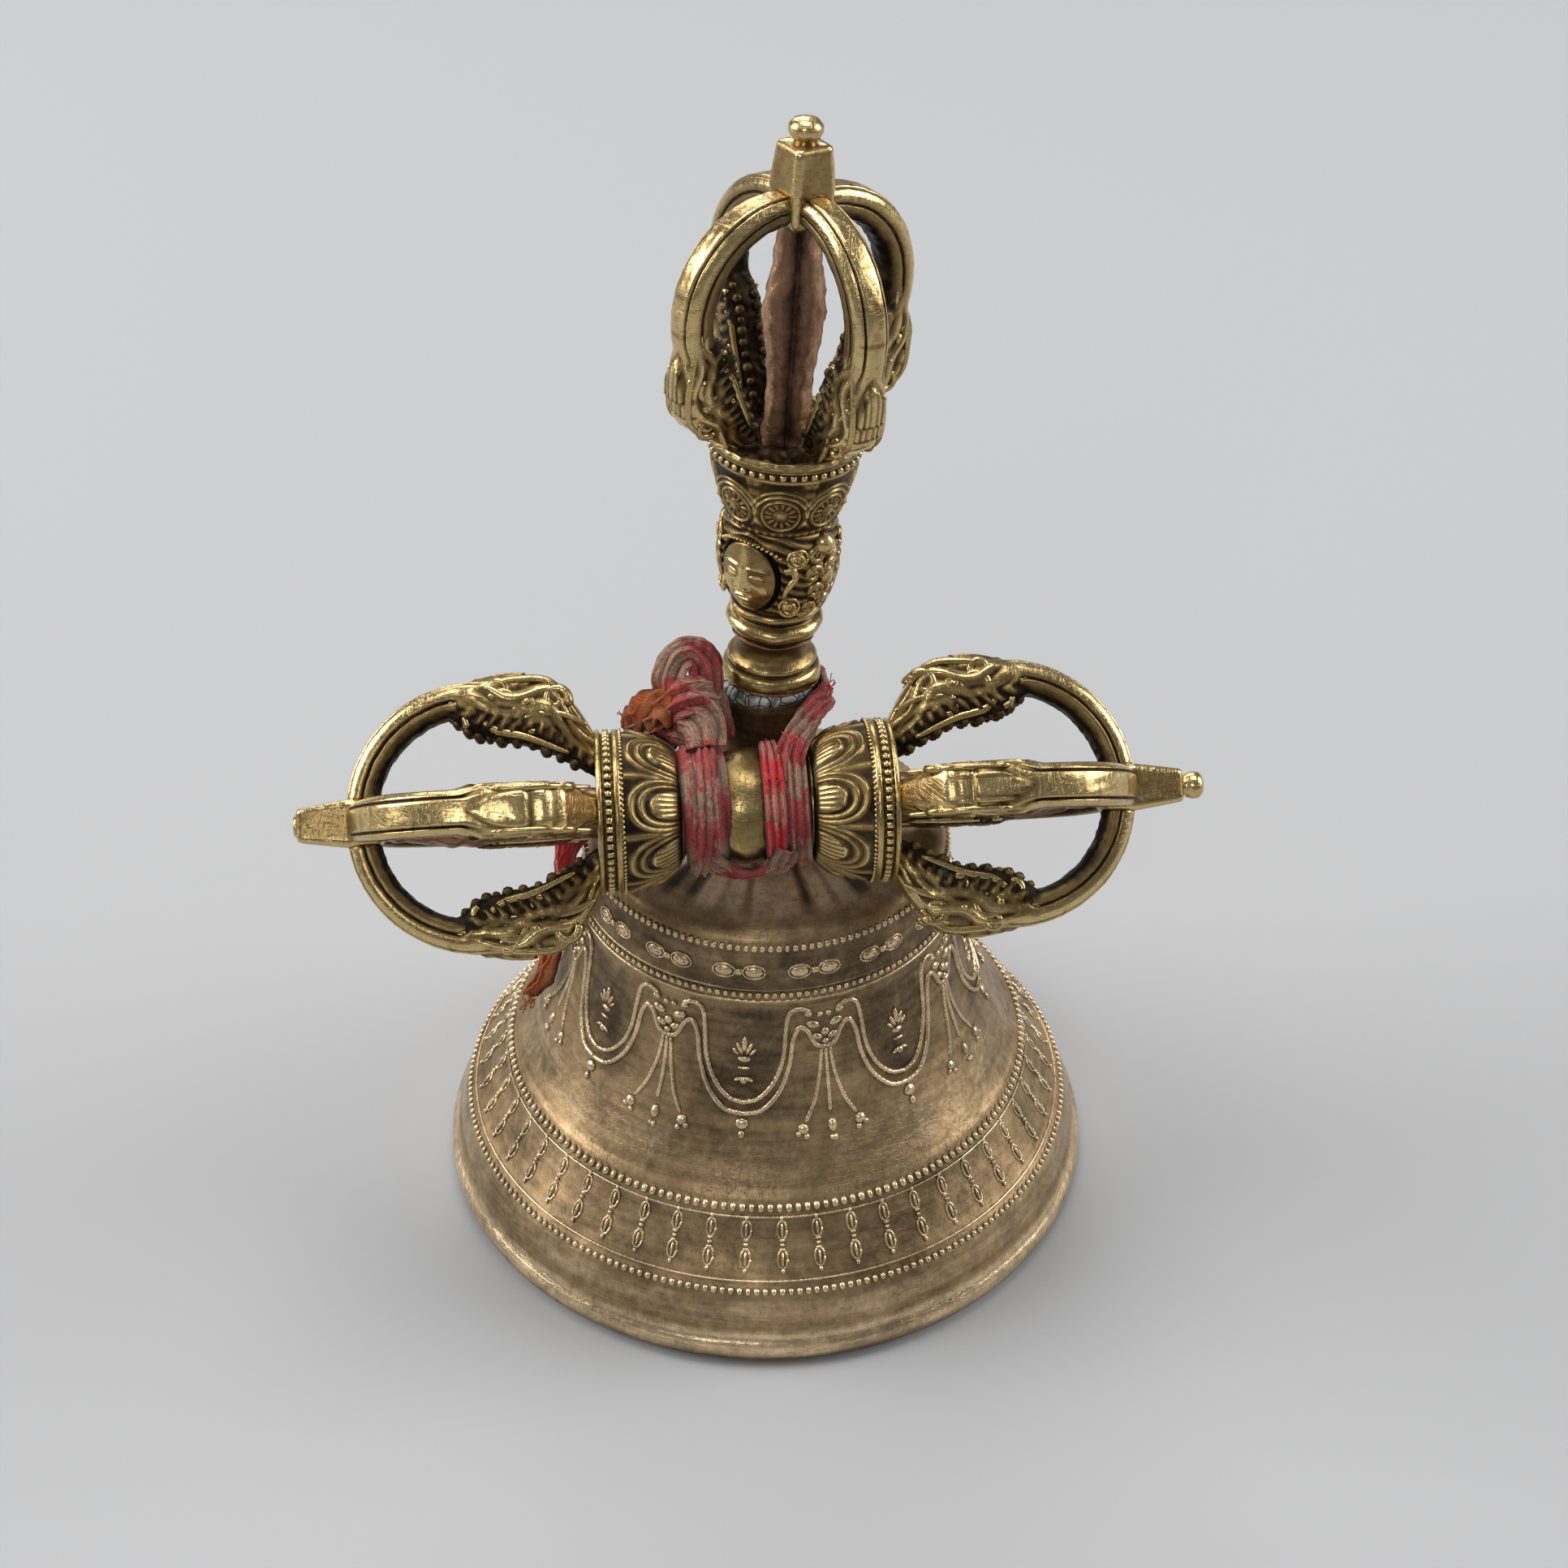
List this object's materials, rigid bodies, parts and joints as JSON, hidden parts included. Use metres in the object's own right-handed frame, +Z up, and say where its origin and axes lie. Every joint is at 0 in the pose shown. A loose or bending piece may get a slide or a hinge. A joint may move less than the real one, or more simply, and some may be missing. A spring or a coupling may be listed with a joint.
{
  "type": "ritual hand bell",
  "caption": "Ritual hand bell with swinging clapper, half-vajra cage handle with a calm head, and a full vajra tied across its neck with a cloth strip.",
  "frame": {"origin": "centre of the bell's rim, on the plane that the rim rests on", "axes": "+Z up along the bell's axis, +X to the right along the tied vajra, -Y to the side where the vajra hangs"},
  "size_m": [0.1187, 0.095, 0.1595],
  "materials": {
    "bell_bronze": "worn brown bronze, satin, dark in the hollows",
    "handle_brass": "worn yellow brass, black in the hollows",
    "vajra_brass": "worn yellow brass, black in the hollows",
    "red_copper_patina": "rough reddish-brown, as cast",
    "clapper_iron": "dark forged iron with a little rust",
    "putty": "white putty, cracked and dirty",
    "cloth_red": "faded red and tan plaid, plain weave",
    "cloth_orange": "faded orange, plain weave"
  },
  "bodies": {
    "bell": {"bell_body": "bell_bronze", "clapper_staple": "clapper_iron", "handle_centre_prong": "red_copper_patina", "handle_crown": "handle_brass", "handle_finial": "handle_brass", "handle_head": "handle_brass", "handle_prong_1": "handle_brass", "handle_prong_2": "handle_brass", "handle_prong_3": "handle_brass", "handle_prong_4": "handle_brass", "handle_stem": "handle_brass", "neck_filler": "putty"},
    "link": {"clapper_link": "clapper_iron"},
    "clapper": {"clapper": "clapper_iron"},
    "tie": {"tie_knot": "cloth_red", "tie_knot_end": "cloth_orange", "tie_neck_loop": "cloth_red", "tie_tail_orange": "cloth_orange", "tie_tail_red": "cloth_red", "tie_wrap_left": "cloth_red", "tie_wrap_right": "cloth_red"},
    "vajra": {"vajra_centre_prong_left": "red_copper_patina", "vajra_centre_prong_right": "red_copper_patina", "vajra_hub": "vajra_brass", "vajra_lotus_left": "vajra_brass", "vajra_lotus_right": "vajra_brass", "vajra_prong_left_1": "vajra_brass", "vajra_prong_left_2": "vajra_brass", "vajra_prong_left_3": "vajra_brass", "vajra_prong_left_4": "vajra_brass", "vajra_prong_right_1": "vajra_brass", "vajra_prong_right_2": "vajra_brass", "vajra_prong_right_3": "vajra_brass", "vajra_prong_right_4": "vajra_brass", "vajra_tip_left": "vajra_brass", "vajra_tip_right": "vajra_brass"}
  },
  "joints": [
    {"name": "link_swing", "type": "hinge", "parent": "bell", "child": "link", "pos_m": [0, 0, 0.0505], "axis": [1, 0, 0], "range_deg": [-12, 12]},
    {"name": "clapper_swing", "type": "hinge", "parent": "link", "child": "clapper", "pos_m": [0, 0, 0.04562], "axis": [0, 1, 0], "range_deg": [-45, 45]},
    {"name": "tie_swivel", "type": "hinge", "parent": "bell", "child": "tie", "pos_m": [0, 0, 0.0775], "axis": [0, 0, 1], "continuous": true},
    {"name": "vajra_roll", "type": "hinge", "parent": "tie", "child": "vajra", "pos_m": [-0.0029, -0.0158, 0.0727], "axis": [0.9965, 0.0837, 0], "range_deg": [0, 14]}
  ]
}
